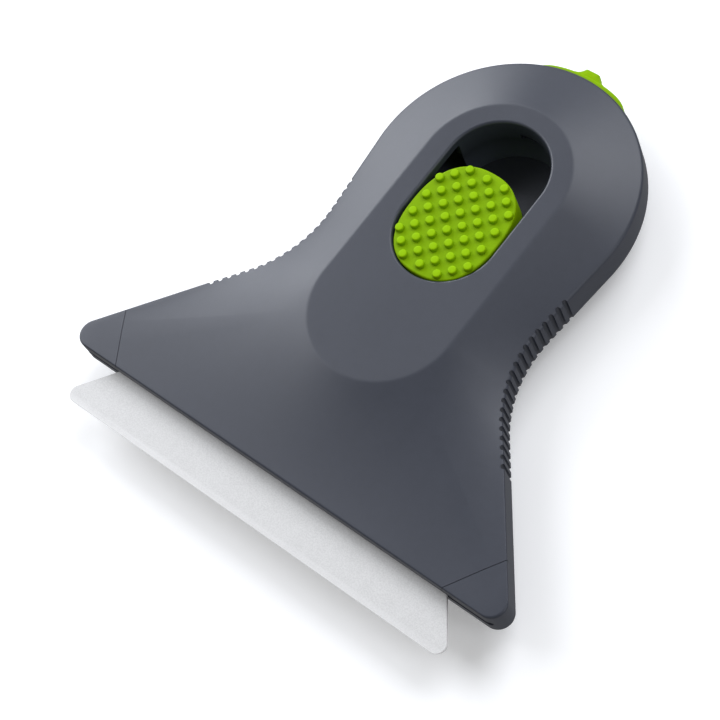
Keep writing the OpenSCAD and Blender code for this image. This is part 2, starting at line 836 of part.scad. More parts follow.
module blade_carrier() {
  wing_w = blade_w - 2 * (blade_out + wing_y) * tan(blade_angle) - 2 * wing_inset;
  color([0.72, 0.73, 0.75]) placed() difference() {
    union() {
      prism(flared(wing_y, wing_y + wing_depth, wing_w, blade_angle, pin_r), plate_z, blade_z);
      box([-tongue_x, wing_y + wing_depth - weld, plate_z], [tongue_x, tongue_end_y, blade_z]);
      box([-heel_w / 2, tongue_end_y - weld, plate_z], [heel_w / 2, heel_y, blade_z]);
    }
    for (x = [-pin_x, pin_x]) rod(x, hole_y, pin_r + fit_gap, plate_z - over, blade_z + over);
    for (y = [bump_y, bump_y - travel]) rod(0, y, detent_r, plate_z - over, blade_z + over);
    for (y = [-carrier_span / 2, carrier_span / 2]) {
      rod(0, button_y + y, carrier_r + fit_gap, plate_z - over, blade_z + over);
    }
  }
}

module locating_pins() {
  head_z = clamp_z + clamp_t;
  color([0.75, 0.75, 0.77]) placed() for (x = [-pin_x, pin_x]) {
    rod(x, hole_y, pin_r, plate_z, head_z + pin_head_t);
    rod(x, hole_y, pin_head_r, head_z, head_z + pin_head_t);
  }
}

module blade() {
  edge_y = -blade_out;
  color([0.9, 0.9, 0.9]) placed() difference() {
    prism(flared(edge_y, edge_y + blade_depth, blade_w, blade_angle, blade_corner_r), blade_z, clamp_z);
    for (x = [-pin_x, pin_x]) rod(x, hole_y, pin_r + hole_gap, blade_z - over, clamp_z + over);
    translate([-blade_w / 2, 0, 0]) rotate([90, 0, 90]) linear_extrude(blade_w) polygon([
      [edge_y - over, clamp_z - edge_t],
      [edge_y, clamp_z - edge_t],
      [edge_y + bevel_l, blade_z],
      [edge_y + bevel_l, blade_z - over],
      [edge_y - over, blade_z - over]
    ]);
  }
}

// Sprung plate over the blade; moved sideways, its wide holes pass the heads of the pins
module blade_clamp() {
  low = clamp_z - over;
  high = clamp_z + clamp_t + over;
  slim_r = pin_r + keyhole_gap;
  color([0.7, 0.71, 0.73]) placed() difference() {
    box([-clamp_w / 2, hole_y - clamp_reach, clamp_z],
      [clamp_w / 2, hole_y + clamp_reach, clamp_z + clamp_t]);
    for (x = [-pin_x, pin_x]) {
      rod(x, hole_y, slim_r, low, high);
      rod(x + keyhole_shift, hole_y, pin_head_r + keyhole_gap, low, high);
      box([x, hole_y - slim_r, low], [x + keyhole_shift, hole_y + slim_r, high]);
    }
  }
}

// Rounded oval between an ellipse and a rectangle, round the middle of the button
function bulged(x) = sign(x) * pow(abs(x), 2 / oval_power);
function button_oval(inset) = [for (i = [0:oval_steps - 1])
  let(angle = 360 * i / oval_steps)
  [(button_a - inset) * bulged(cos(angle)), button_y + (button_b - inset) * bulged(sin(angle))]];

module slider_block() {
  color([0.15, 0.15, 0.16]) placed() difference() {
    union() {
      prism(button_oval(0), blade_z, button_z);
      prism(button_oval(button_wall + block_gap), button_z - weld, button_top_z - button_top_t - block_gap);
    }
    for (y = [-carrier_span / 2, carrier_span / 2]) {
      rod(0, button_y + y, carrier_r + fit_gap, blade_z - over, blade_z + carrier_grip + fit_gap);
    }
  }
}

module carrier_screws() {
  color([0.75, 0.75, 0.77]) placed() for (y = [-carrier_span / 2, carrier_span / 2]) {
    translate([0, button_y + y, plate_z]) mirror([0, 0, 1])
      screw(carrier_r, plate_t + carrier_grip, carrier_head_r, carrier_head_t);
  }
}

// Places of the studs: every second one of a square grid inside the button's outline
stud_places = [
  for (m = [-stud_rows:stud_rows], n = [-stud_rows:stud_rows])
    if ((m + n + 2 * stud_rows) % 2 == 1
      && pow(abs(m) * stud_step / button_a, oval_power)
        + pow(abs(n) * stud_step / button_b, oval_power) < pow(stud_field_share, oval_power))
      [m * stud_step, button_y + n * stud_step]
];

module studs() {
  intersection() {
    union() for (p = stud_places) {
      translate([p[0], p[1], button_top_z - weld])
        cylinder(r1 = stud_r, r2 = stud_end_r, h = stud_h + weld, $fn = stud_sides);
    }
    prism(button_oval(0), button_top_z - weld, button_top_z + stud_h);
  }
}

module thumb_button() {
  color([0.55, 0.75, 0.05]) placed() union() {
    difference() {
      prism(button_oval(0), button_z, button_top_z);
      prism(button_oval(button_wall), button_z - over, button_top_z - button_top_t);
    }
    studs();
  }
}

// Curved plate with its stem, its foot, the seats of its springs and its nub
module cover_catch() {
  nub_y = head_y + catch_r;
  color([0.55, 0.75, 0.05]) placed() difference() {
    union() {
      difference() {
        rod(0, head_y, catch_r, catch_z, catch_top_z);
        rod(0, head_y, catch_in_r, catch_z - over, catch_top_z + over);
        box([-catch_r - over, head_y - catch_r - over, catch_z - over],
          [catch_r + over, head_y, catch_top_z + over]);
        both_sides() box([catch_w / 2, head_y - over, catch_z - over],
          [catch_r + over, head_y + catch_r, catch_top_z + over]);
      }
      box([-stem_w / 2, foot_y, catch_z], [stem_w / 2, head_y + catch_in_r + weld, catch_top_z]);
      box([-foot_w / 2, foot_y, catch_z], [foot_w / 2, foot_end_y, catch_top_z]);
      both_sides() box([coil_out_x - 2 * coil_r - 2 * wire_r, seat_y, catch_z],
        [coil_out_x, head_y + catch_in_r, catch_top_z]);
      prism([
        [-nub_foot_w / 2, nub_y - catch_t / 2],
        [nub_foot_w / 2, nub_y - catch_t / 2],
        [nub_foot_w / 2, nub_y],
        [nub_end_w / 2, nub_y + nub_l],
        [-nub_end_w / 2, nub_y + nub_l],
        [-nub_foot_w / 2, nub_y]
      ], catch_z + nub_inset, catch_top_z - nub_inset);
    }
    box([-tab_w / 2 - latch_gap, tab_y - latch_gap, catch_z - over],
      [tab_w / 2 + latch_gap, tab_end_y + catch_travel + latch_gap, catch_top_z + over]);
    box([-tab_w / 2 - latch_gap, tab_y - hook_l - latch_gap, catch_z - over],
      [tab_w / 2 + latch_gap, tab_y, bar_z]);
  }
}

// Wire of a coil spring along the tool: its middle at a turn, and a ring of wire round it
spring_l = seat_y - spring_y;
coil_rings = coil_steps * coil_turns;
function coil_middle(i) =
  let(angle = 360 * i / coil_steps)
  [coil_r * cos(angle), blend(wire_r, spring_l - wire_r, i / coil_rings), coil_r * sin(angle)];
function wire_ring(i) =
  let(angle = 360 * i / coil_steps)
  [for (k = [0:wire_sides - 1])
    let(spin = 360 * k / wire_sides)
    coil_middle(i) + wire_r * [cos(spin) * cos(angle), sin(spin), cos(spin) * sin(angle)]];

module catch_springs() {
  color([0.75, 0.75, 0.77]) placed() both_sides()
    translate([spring_x, spring_y, spring_z]) skin([for (i = [0:coil_rings]) wire_ring(i)]);
}

top_cover();
lower_housing();
guide_left();
guide_right();
guide_screws();
detent_spring();
detent_screw();
blade_carrier();
locating_pins();
blade();
blade_clamp();
slider_block();
carrier_screws();
thumb_button();
cover_catch();
catch_springs();
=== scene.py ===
import math

import bmesh
import bpy
import numpy as np
from mathutils import Matrix, Vector


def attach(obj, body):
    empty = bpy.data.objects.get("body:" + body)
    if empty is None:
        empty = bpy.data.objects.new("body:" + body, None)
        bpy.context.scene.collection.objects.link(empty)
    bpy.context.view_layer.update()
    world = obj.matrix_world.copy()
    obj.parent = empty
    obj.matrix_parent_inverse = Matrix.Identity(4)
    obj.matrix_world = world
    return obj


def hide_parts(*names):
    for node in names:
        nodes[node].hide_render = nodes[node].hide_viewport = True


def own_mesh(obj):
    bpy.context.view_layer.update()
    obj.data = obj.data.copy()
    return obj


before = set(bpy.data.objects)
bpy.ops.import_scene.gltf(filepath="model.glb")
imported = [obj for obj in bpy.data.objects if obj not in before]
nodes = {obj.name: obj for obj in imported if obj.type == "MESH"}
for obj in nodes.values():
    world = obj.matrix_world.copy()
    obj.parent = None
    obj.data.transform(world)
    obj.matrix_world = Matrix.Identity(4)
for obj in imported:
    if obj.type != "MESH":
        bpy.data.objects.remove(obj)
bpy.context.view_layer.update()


# Outline of the housing
# The cover and the lower housing share one plan: flared front corners, a hollow waist and a round
# head. Each piece is drawn in millimetres from the front edge, and settled in metres when done.
corner_w = 100
flare = 39.2
corner_r = 2.6
least_corner = 0.15
waist_r = 23.5
taper = 5.7
head_r = 24.6
head = np.array([0, 61.8])
outline_steps = {"front": 8, "corner": 6, "flare": 5, "waist": 12, "taper": 3, "head": 18}


def turn(angle):
    """Arrow of length 1 at an angle in degrees"""
    return np.array([math.cos(math.radians(angle)), math.sin(math.radians(angle))])


def blend(a, b, share):
    return a + (b - a) * share


def steps(count):
    """Equal shares from 0 up to the one before 1"""
    return [i / count for i in range(count)]


flare_run = turn(flare)[0] * corner_w / 2 + waist_r
taper_run = head_r - turn(taper)[1] * head[1] + waist_r
waist = np.array([
    flare_run * turn(taper)[1] + taper_run * turn(flare)[1],
    flare_run * turn(taper)[0] - taper_run * turn(flare)[0],
]) / turn(90 - flare - taper)[0]


def mirrored(half):
    """A right half outline and its mirror image as one loop"""
    return half + [p * (-1, 1) for p in half[-2:0:-1]]


def outline(inset, fineness=1):
    """Outline drawn in by a distance, from the front edge round the head and back"""
    shares = {part: steps(count * fineness) for part, count in outline_steps.items()}
    radius = max(corner_r - inset, corner_r * least_corner)
    corner = np.array([
        corner_w / 2 - inset * (1 + turn(flare)[1]) / turn(flare)[0]
        - radius / math.tan(math.radians(45 - flare / 2)),
        inset + radius,
    ])
    hollow_r = waist_r + inset
    flare_ends = corner + radius * turn(flare), waist - hollow_r * turn(flare)
    taper_ends = waist - hollow_r * turn(-taper), head + (head_r - inset) * turn(-taper)
    return mirrored(
        [np.array([corner[0] * s, inset]) for s in shares["front"]]
        + [corner + radius * turn(blend(-90, flare, s)) for s in shares["corner"]]
        + [blend(*flare_ends, s) for s in shares["flare"]]
        + [waist - hollow_r * turn(blend(flare, -taper, s)) for s in shares["waist"]]
        + [blend(*taper_ends, s) for s in shares["taper"]]
        + [head + (head_r - inset) * turn(blend(-taper, 90, s)) for s in shares["head"]]
        + [head + (head_r - inset) * turn(90)]
    )


# Skin of the housing
# The top and the underside are the same moulded skin: upright wall, rounded edge, a slope that is
# the hollower the longer it is, and a flat oval with a soft crease round it.
side_h = 5.6
bulge_h = 3.9
edge_ease = 0.5
ease_steps = 8
slope_steps = 20
crease = 0.35
crease_places = (1, 0.6, 0.2, -0.2, -0.6, -1, -2)
soft_width = 2.6
oval_r = 13.8
oval_front_y = 32.9
oval_rear_y = 61.7
hollow_power = 0.5
top_z = side_h + 2 * bulge_h
edge_z = side_h + bulge_h


def seat(p):
    """Nearest point to p on the middle line of the oval"""
    return np.array([0, min(max(p[1], oval_front_y), oval_rear_y)])


def outwards(p):
    """Direction in which the slope falls from the oval towards p"""
    return (p - seat(p)) / np.linalg.norm(p - seat(p))


def run_of(p):
    """Length of the slope from the oval to a point of the outline"""
    return np.linalg.norm(p - seat(p)) - oval_r


def steepening(run):
    """Power of the curve of the slope, larger the longer the slope is"""
    return (run / (head_r - oval_r)) ** hollow_power


def rise(p, share):
    """Share of the height that a share of the way from the outline to the oval has"""
    return share ** steepening(run_of(p))


def eased(p, share):
    """Point on the rounded edge above a point of the outline"""
    end_rise = bulge_h * rise(p, edge_ease / run_of(p))
    x, y = p - outwards(p) * edge_ease * share ** 2
    return x, y, edge_z + end_rise * share ** 2 - edge_ease * (1 - share) ** 2


def sloped(p, run, away):
    """Point on the slope at a distance from the oval, which a crease rounds off"""
    x, y = seat(p) + outwards(p) * (oval_r + away)
    if away > crease:
        return x, y, edge_z + bulge_h * (1 - away / run) ** steepening(run)
    fall = bulge_h * steepening(run) / run
    return x, y, top_z - fall * max(0, away + crease) ** 2 / (4 * crease)


def soft_runs(points):
    """Lengths of the slope, evened out along the oval, so that no ridge runs up from a corner"""
    runs = np.array([run_of(p) for p in points])
    feet = np.array([seat(p) + oval_r * outwards(p) for p in points])
    spans = np.linalg.norm(np.roll(feet, -1, axis=0) - np.roll(feet, 1, axis=0), axis=1)
    apart = ((feet[:, None] - feet[None]) ** 2).sum(axis=2)
    nearness = np.exp(-apart / (2 * soft_width ** 2)) * spans
    return nearness @ runs / nearness.sum(axis=1)


def made(name, points, faces):
    """Closed solid in millimetres, measured from the front edge"""
    mesh = bpy.data.meshes.new(name)
    mesh.from_pydata([tuple(p) for p in points], [], faces)
    shell = bmesh.new()
    shell.from_mesh(mesh)
    bmesh.ops.recalc_face_normals(shell, faces=shell.faces)
    shell.to_mesh(mesh)
    shell.free()
    piece = bpy.data.objects.new(name, mesh)
    bpy.context.scene.collection.objects.link(piece)
    return piece


def skin(name, rings):
    """Closed skin over rings with equal numbers of points; each end is a fan round its middle"""
    n, last = len(rings[0]), (len(rings) - 1) * len(rings[0])
    middles = [(np.array(ring[0]) + np.array(ring[n // 2])) / 2 for ring in (rings[0], rings[-1])]
    around = [(i, (i + 1) % n) for i in range(n)]
    return made(
        name,
        [p for ring in rings for p in ring] + middles,
        [(last + n, i, j) for i, j in around]
        + [(last + n + 1, last + j, last + i) for i, j in around]
        + [(k * n + i, k * n + n + i, k * n + n + j, k * n + j)
           for k in range(len(rings) - 1) for i, j in around],
    )


def level(points, z):
    return [(p[0], p[1], z) for p in points]


def bulge(base_z):
    """Outer body from a base height up over the rounded edge and the slope to the oval"""
    points = outline(0, 4)
    softs = soft_runs(points)
    slope = []
    for s in steps(slope_steps)[1:]:
        runs = [blend(run_of(p), soft, s) for p, soft in zip(points, softs)]
        slope.append([sloped(p, run, blend(run - edge_ease, crease, s))
                      for p, run in zip(points, runs)])
    return skin("bulge", [level(points, base_z)]
                + [[eased(p, s) for p in points] for s in steps(ease_steps) + [1]]
                + slope
                + [[sloped(p, soft, crease * s) for p, soft in zip(points, softs)]
                   for s in crease_places])


# Grooves of the waist
# Twenty round flutes on each side, a little deeper than half round, let two fingers hold the tool
# when it is wet. They are moulded into the wall of the cover and of the lower housing alike.
groove_count = 20
groove_r = 0.45
groove_sink = 0.15
groove_pitch = 1.63
groove_lead = 5.75
groove_sides = 32
groove_spare = 2
waist_l = math.radians(flare + taper) * waist_r


class Signal:
    """What a socket gives out, so that sums on it can be written as sums"""

    def __init__(self, bench, socket):
        self.bench, self.socket = bench, socket

    def of(self, name):
        return Signal(self.bench, self.socket.node.outputs[name])

    def then(self, operation, *others):
        return self.bench.node("ShaderNodeMath", {"operation": operation}, (self, *others))

    def __add__(self, other):
        return self.then("ADD", other)

    def __sub__(self, other):
        return self.then("SUBTRACT", other)

    def __rsub__(self, other):
        return (self * -1).then("ADD", other)

    def __mul__(self, other):
        return self.then("MULTIPLY", other)

    def __truediv__(self, other):
        return self.then("DIVIDE", other)

    def __pow__(self, other):
        return self.then("POWER", other)

    __radd__, __rmul__ = __add__, __mul__


class Bench:
    """A node tree, in a material or in Geometry Nodes, that is filled node by node"""

    def __init__(self, tree):
        self.tree = tree

    def node(self, kind, settings=None, values=(), out=0):
        """A node with its settings, then with the values or signals of its sockets"""
        new = self.tree.nodes.new(kind)
        for name, value in (settings or {}).items():
            setattr(new, name, value)
        for key, value in values.items() if isinstance(values, dict) else enumerate(values):
            socket = new.inputs[key] if isinstance(key, int) else next(
                s for s in new.inputs if s.enabled and key in (s.identifier, s.name))
            if isinstance(value, Signal):
                self.tree.links.new(value.socket, socket)
            else:
                socket.default_value = value
        return Signal(self, new.outputs[out]) if new.outputs else None


def recipe(name, sizes):
    """A Geometry Nodes tree with named inputs, and the signals that those inputs give"""
    tree = bpy.data.node_groups.new(name, "GeometryNodeTree")
    tree.interface.new_socket("Geometry", in_out="OUTPUT", socket_type="NodeSocketGeometry")
    tree.interface.new_socket("Geometry", in_out="INPUT", socket_type="NodeSocketGeometry")
    for size, kind in sizes.items():
        tree.interface.new_socket(size, in_out="INPUT", socket_type="NodeSocket" + kind)
    bench = Bench(tree)
    source = bench.node("NodeGroupInput")
    return bench, {s.name: Signal(bench, s) for s in source.socket.node.outputs if s.name}


def evaluated(piece):
    """The piece with its modifiers worked into its mesh"""
    graph = bpy.context.evaluated_depsgraph_get()
    mesh = bpy.data.meshes.new_from_object(piece.evaluated_get(graph))
    piece.modifiers.clear()
    piece.data = mesh
    return piece


def grown(places, bench, got, unit, sizes, rotation=(0, 0, 0)):
    """One unit of a recipe on each of the places, with these sizes, as a plain mesh"""
    points = bench.node("GeometryNodeMeshToPoints", {}, [got["Geometry"]])
    placed = bench.node("GeometryNodeInstanceOnPoints", {}, {
        "Points": points, "Instance": unit, "Rotation": rotation})
    real = bench.node("GeometryNodeRealizeInstances", {}, [placed])
    finished = bench.node("GeometryNodeSetMaterial", {}, {
        "Geometry": real, "Material": got["Finish"]})
    bench.node("NodeGroupOutput", {}, [finished])
    step = places.modifiers.new("grow", "NODES")
    step.node_group = bench.tree
    for socket in bench.tree.interface.items_tree:
        if socket.in_out == "INPUT" and socket.name in sizes:
            step[socket.identifier] = sizes[socket.name]
    return evaluated(places)


def groove_place(along):
    """Place of a groove, measured along the side from behind the waist to the flare"""
    radius = waist_r + groove_sink
    if along < groove_lead:
        return waist - radius * turn(-taper) + (groove_lead - along) * turn(90 - taper)
    if along < groove_lead + waist_l:
        return waist - radius * turn(blend(-taper, flare, (along - groove_lead) / waist_l))
    return waist - radius * turn(flare) + (along - groove_lead - waist_l) * turn(flare - 90)


def grooves():
    """Round cutters at the places of the grooves on both sides"""
    places = [groove_place(i * groove_pitch) for i in range(groove_count)]
    cutters = made("grooves", [(x * side, y, top_z / 2) for x, y in places for side in (1, -1)], [])
    bench, got = recipe("groove cutters", {
        "Radius": "Float", "Height": "Float", "Sides": "Int", "Finish": "Material"})
    cutter = bench.node("GeometryNodeMeshCylinder", {}, {
        "Vertices": got["Sides"], "Radius": got["Radius"], "Depth": got["Height"]})
    return grown(cutters, bench, got, cutter, {
        "Radius": groove_r, "Height": top_z + groove_spare, "Sides": groove_sides,
        "Finish": housing_grey})


# Grey nylon of the housing
# Glass filled nylon, moulded in a finely eroded tool: a satin grain, faint flow marks, and a pad
# under the tool that laying it down has rubbed smooth.
MM = 0.001
origin_y = (oval_front_y + oval_rear_y) / 2
grey = (0.031, 0.0355, 0.050)
grey_roughness = 0.42
grey_grain = 0.16
grey_grain_depth = 0.006
grey_rub = 0.5
flow_size = 14
rub_size = 2.5
rub_low = 0.02
rub_h = 0.3
rubbed_times = 1.9
# Painted light: how many times lighter a painted pool of light makes the colour
painted_light_times = 3.5
merge_d = 0.0005


def material(name):
    """An empty material, the bench of its nodes and the place on the object that they read"""
    new = bpy.data.materials.new(name)
    new.use_nodes = True
    new.node_tree.nodes.clear()
    bench = Bench(new.node_tree)
    return new, bench, bench.node("ShaderNodeTexCoord", out="Object")


def noise(bench, place, size, detail=2.0, stretch=(1, 1, 1)):
    """Soft random spots of a size in millimetres, from 0 to 1"""
    scaled = bench.node("ShaderNodeMapping", {}, {"Vector": place, "Scale": stretch})
    return bench.node("ShaderNodeTexNoise", {}, {
        "Vector": scaled, "Scale": 1 / (size * MM), "Detail": detail}, out="Fac")


def ramp(bench, value, low, high):
    """From 0 to 1 while a value goes from low to high"""
    return bench.node("ShaderNodeMapRange", {}, {
        "Value": value, "From Min": low, "From Max": high})


def tinted(bench, share, a, b):
    return bench.node("ShaderNodeMix", {"data_type": "RGBA"}, {
        "Factor_Float": share, "A_Color": a, "B_Color": b}, out=2)


def shaded(colour, times):
    return tuple(min(1, c * times) for c in colour) + (1,)


def coated(bench, **sockets):
    """Ends a material in one surface shader"""
    surface = bench.node("ShaderNodeBsdfPrincipled", {}, {
        name.replace("_", " "): value for name, value in sockets.items()})
    bench.node("ShaderNodeOutputMaterial", {}, {"Surface": surface})


def relief(bench, height, depth):
    return bench.node("ShaderNodeBump", {}, {
        "Strength": 1.0, "Distance": depth * MM, "Height": height})


def moulded(name, colour, roughness, grain, depth, rub=0.0, gloss=0.5, painted_top_light=None, painted_light_mask=None):
    """Moulded plastic with its grain size and depth in millimetres; rub is how far its underside is
    rubbed; lit paints a highlight, so many times lighter from one height to another, and scuffed
    says where a pool of light is painted lighter"""
    new, bench, place = material(name)
    fine = noise(bench, place, grain, 3)
    spots = noise(bench, place, grain * 9)
    flow = noise(bench, place, flow_size, 3, (1, 0.35, 1))
    height = bench.node("ShaderNodeSeparateXYZ", {}, [place], out="Z")
    rubbing = ramp(bench, noise(bench, place, rub_size, 4, (1, 0.2, 1)), 0.35, 0.6)
    worn = (1 - ramp(bench, height, rub_low * MM, rub_h * MM)) * rubbing
    tone = ramp(bench, fine * 0.35 + spots * 0.3 + flow * 0.35, 0.35, 0.65)
    base = tinted(bench, tone, shaded(colour, 0.93), shaded(colour, 1.07))
    # Painted highlight: between two heights the colour is painted so many times lighter, standing
    # in for light on the tops
    if painted_top_light:
        low, high, times = painted_top_light
        base = tinted(bench, ramp(bench, height, low * MM, high * MM), base, shaded(colour, times))
    # Painted light: where the mask says, the colour is painted lighter, as a painted pool of light
    if painted_light_mask:
        base = tinted(bench, painted_light_mask(bench, place), base, shaded(colour, painted_light_times))
    coated(bench, Base_Color=tinted(bench, worn * rub, base, shaded(colour, rubbed_times)),
           Specular_IOR_Level=gloss,
           Roughness=roughness + (flow - 0.5) * 0.12 + (fine - 0.5) * 0.1 - worn * rub * 0.25,
           Normal=relief(bench, fine + spots * 0.4, depth))
    return new


housing_grey = moulded("housing_grey", grey, grey_roughness, grey_grain, grey_grain_depth, grey_rub)


def settled(piece, name, body, slot, finish, *stands_for, angle=32):
    """Ends a piece: metres, the row frame, smooth shading between its edges, finish and body"""
    piece.name = piece.data.name = name
    shell = bmesh.new()
    shell.from_mesh(piece.data)
    bmesh.ops.remove_doubles(shell, verts=shell.verts, dist=merge_d)
    bmesh.ops.dissolve_degenerate(shell, edges=shell.edges, dist=merge_d)
    shell.to_mesh(piece.data)
    shell.free()
    piece.data.transform(Matrix.Scale(MM, 4) @ Matrix.Translation((0, -origin_y, 0)))
    piece.data.materials.clear()
    piece.data.materials.append(finish)
    piece.data.polygons.foreach_set("material_index", [0] * len(piece.data.polygons))
    piece.data.shade_smooth()
    piece.data.set_sharp_from_angle(angle=math.radians(angle))
    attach(piece, body)
    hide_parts(*stands_for)
    return piece


# Top cover
# One grey nylon moulding with the flat oval, the slot of the thumb button and a locating lip all
# round. A guard wall behind the slot keeps dirt out, and a hooked tab locks into the catch.
cover_side_h = 1
wall = 2
roof_t = 1.6
eave_t = 1.2
hollow_steps = 3
lip_gap = 0.15
lip_t = 1.2
mouth_h = 1.2
toe_past = 1.6
toe_low = 0.6
toe_high = 0.1
slot_r = 9.5
slot_front_y = 49.35
slot_rear_y = 62.4
slot_steps = 64
slot_ease = 0.5
slot_ease_angles = (180, 165, 150, 135, 120, 105, 93)
skirt_z = 8.6
skirt_t = 1.3
skirt_lead = 1.5
notch_w = 5
notch_h = 1.4
guard_x = 36.45
guard_slant = math.tan(math.radians(32.3))
seam_gap = 0.12
channel_z = 4.9
catch_w = 19.4
gate_y = 81.004
tab_y = 79.004
tab_w = 4.4
tab_t = 1.2
tab_z = channel_z + 0.7
tab_top_z = 10.3
hook_l = 0.9
hook_h = 0.9
round_steps = 96
over = 0.4
weld = 0.2

part_z = edge_z - cover_side_h
lip_d = wall + lip_gap
cavity_d = lip_d + lip_t
roof_z = top_z - roof_t
eave_z = edge_z - eave_t
lip_z = (top_z + mouth_h) / 2
mouth_z = lip_z - mouth_h


def prism(points, low, high):
    return skin("prism", [level(points, low), level(points, high)])


def box(low, high):
    (a, b, c), (d, e, f) = low, high
    sides = [(i, (i + 1) % 4, (i + 1) % 4 + 4, i + 4) for i in range(4)]
    return made("box", [(x, y, z) for z in (c, f) for x, y in ((a, b), (d, b), (d, e), (a, e))],
                [(3, 2, 1, 0), (4, 5, 6, 7), *sides])


def rod(x, y, radius, low, high):
    """Upright round bar"""
    points = [np.array([x, y]) + radius * turn(360 * s) for s in steps(round_steps)]
    return prism(points, low, high)


def combined(operation, piece, tools):
    for tool in tools:
        step = piece.modifiers.new("combine", "BOOLEAN")
        step.operation, step.solver, step.object = operation, "MANIFOLD", tool
        evaluated(piece)
        bpy.data.objects.remove(tool)
    return piece


def joined(piece, *tools):
    return combined("UNION", piece, tools)


def cut(piece, *tools):
    return combined("DIFFERENCE", piece, tools)


def shared(piece, *tools):
    return combined("INTERSECT", piece, tools)


def both_sides(piece):
    """The piece, and its mirror image across the middle of the tool, as one object"""
    twin = piece.copy()
    twin.data = piece.data.copy()
    twin.data.transform(Matrix.Diagonal((-1, 1, 1, 1)))
    twin.data.flip_normals()
    bpy.context.scene.collection.objects.link(twin)
    return joined(piece, twin)


def hollow(inset, base_z, ceiling_r):
    """Hollow with upright sides up to the eaves and the same slope inside as outside"""
    points = outline(inset)
    rings = [level(points, base_z)]
    for s in steps(hollow_steps) + [1]:
        rings.append([(*blend(p, seat(p) + ceiling_r * outwards(p), s),
                       blend(eave_z, roof_z, rise(p, s))) for p in points])
    return skin("hollow", rings)


def seam_x(y, gap):
    return guard_x + gap + guard_slant * y


def past_seam(gap, low, high):
    """Everything past the seams of the two corner guards, moved outwards by a gap"""
    far_y = guard_x
    return both_sides(prism([np.array(p) for p in (
        (seam_x(-over, gap), -over), (corner_w, -over),
        (corner_w, far_y), (seam_x(far_y, gap), far_y)
    )], low, high))


def front_strip(gap, front_y, rear_y, low, high):
    """What lies between the two seams, from one distance behind the front edge to another"""
    return prism([np.array(p) for p in (
        (-seam_x(front_y, gap), front_y), (seam_x(front_y, gap), front_y),
        (seam_x(rear_y, gap), rear_y), (-seam_x(rear_y, gap), rear_y)
    )], low, high)


def slot_points(radius):
    front, rear = np.array([0, slot_front_y]), np.array([0, slot_rear_y])
    return ([front + radius * turn(180 + 180 * s) for s in steps(slot_steps) + [1]]
            + [rear + radius * turn(180 * s) for s in steps(slot_steps) + [1]])


def slot_cutter():
    """The slot with the rounding of its rim"""
    rings = [level(slot_points(slot_r), skirt_z - over)]
    for angle in slot_ease_angles:
        along, up = slot_ease * turn(angle)
        rings.append(level(slot_points(slot_r + slot_ease + along), top_z - slot_ease + up))
    return skin("slot", rings + [level(slot_points(slot_r + slot_ease), top_z + over)])


reach = slot_r + skirt_t
lip = cut(prism(outline(lip_d), lip_z, part_z + weld),
          past_seam(-seam_gap / 2, lip_z - over, part_z + over))
toes = cut(prism(outline(lip_d), part_z - toe_low, part_z - toe_high),
           past_seam(toe_past, lip_z - over, part_z + over))
cover = joined(
    cut(bulge(part_z), past_seam(-seam_gap / 2, part_z - over, top_z)),
    lip, toes, front_strip(-seam_gap / 2, 0, lip_d + weld, lip_z, part_z + weld))
cut(cover, hollow(cavity_d, lip_z - over, oval_r),
    box((-catch_w / 2 - wall, gate_y - wall, lip_z - over),
        (catch_w / 2 + wall, head[1] + head_r, part_z)))
skirt = shared(rod(0, slot_rear_y, reach, skirt_z, roof_z + weld),
               box((-reach, slot_rear_y + skirt_lead, skirt_z - over),
                   (reach, slot_rear_y + reach, roof_z + 1)))
tab = joined(box((-tab_w / 2, tab_y, tab_z), (tab_w / 2, tab_y + tab_t, tab_top_z)),
             box((-tab_w / 2, tab_y - hook_l, tab_z),
                 (tab_w / 2, tab_y + tab_t - weld / 2, tab_z + hook_h)))
joined(cover, skirt, tab)
cut(cover, slot_cutter(),
    box((-notch_w / 2, slot_rear_y, skirt_z - over),
        (notch_w / 2, slot_rear_y + reach + over, skirt_z + notch_h)),
    grooves())
settled(cover, "top_cover_moulding", "housing", "housing_grey", housing_grey, "top_cover")


# Lower housing
# The grey nylon tub that carries everything, moulded in one: side walls, both front corner
# guards, the lower lip of the mouth, the rear block with its bowl behind the button, and the
# window in which the catch stands.
well_r = 9.95
block_y = 67.4
shelf_z = lip_z - 0.2
run_gap = 0.12
gate_z = part_z - run_gap
mouth_x = guard_x + 9.4
guide_x = 9.75
guide_y = 23
guide_w = 3.85
guide_screws_y = (3.5, 12)
rib_x = 8.2
rib_l = 15.5
rail_z = 5.45
leaf_y = 25
leaf_z = 4.2
pedestal_w = 4
pedestal_l = 4.4
pilot_r = 0.85
pilot_l = 2.35
foot_y = 75.404
foot_w = 13
foot_room = 1.6
stem_w = 9.2
stem_lead = 1
chamber_y = foot_y - 1.4
wire_r = 0.22
spring_x = 7.1
pocket_r = 1.37
pocket_l = 3
spring_z = channel_z + pocket_r + wire_r
bar_sides = 48
# Painted light on the round wall of the well: the soft width of its edges and the height where it
# fades out
well_light_edge = 0.05
well_light_top_z = 7.5


def turned_over(piece):
    """The piece turned over, so that a top becomes an underside"""
    piece.data.transform(Matrix.Translation((0, 0, top_z)) @ Matrix.Diagonal((1, 1, -1, 1)))
    piece.data.flip_normals()
    return piece


def lying_rod(x, y, z, radius, length):
    """Round bar along the tool that ends at a place"""
    around = [turn(360 * s) for s in steps(bar_sides)]
    return skin("rod", [[(x + radius * c, end_y, z + radius * s) for c, s in around]
                        for end_y in (y - length, y)])


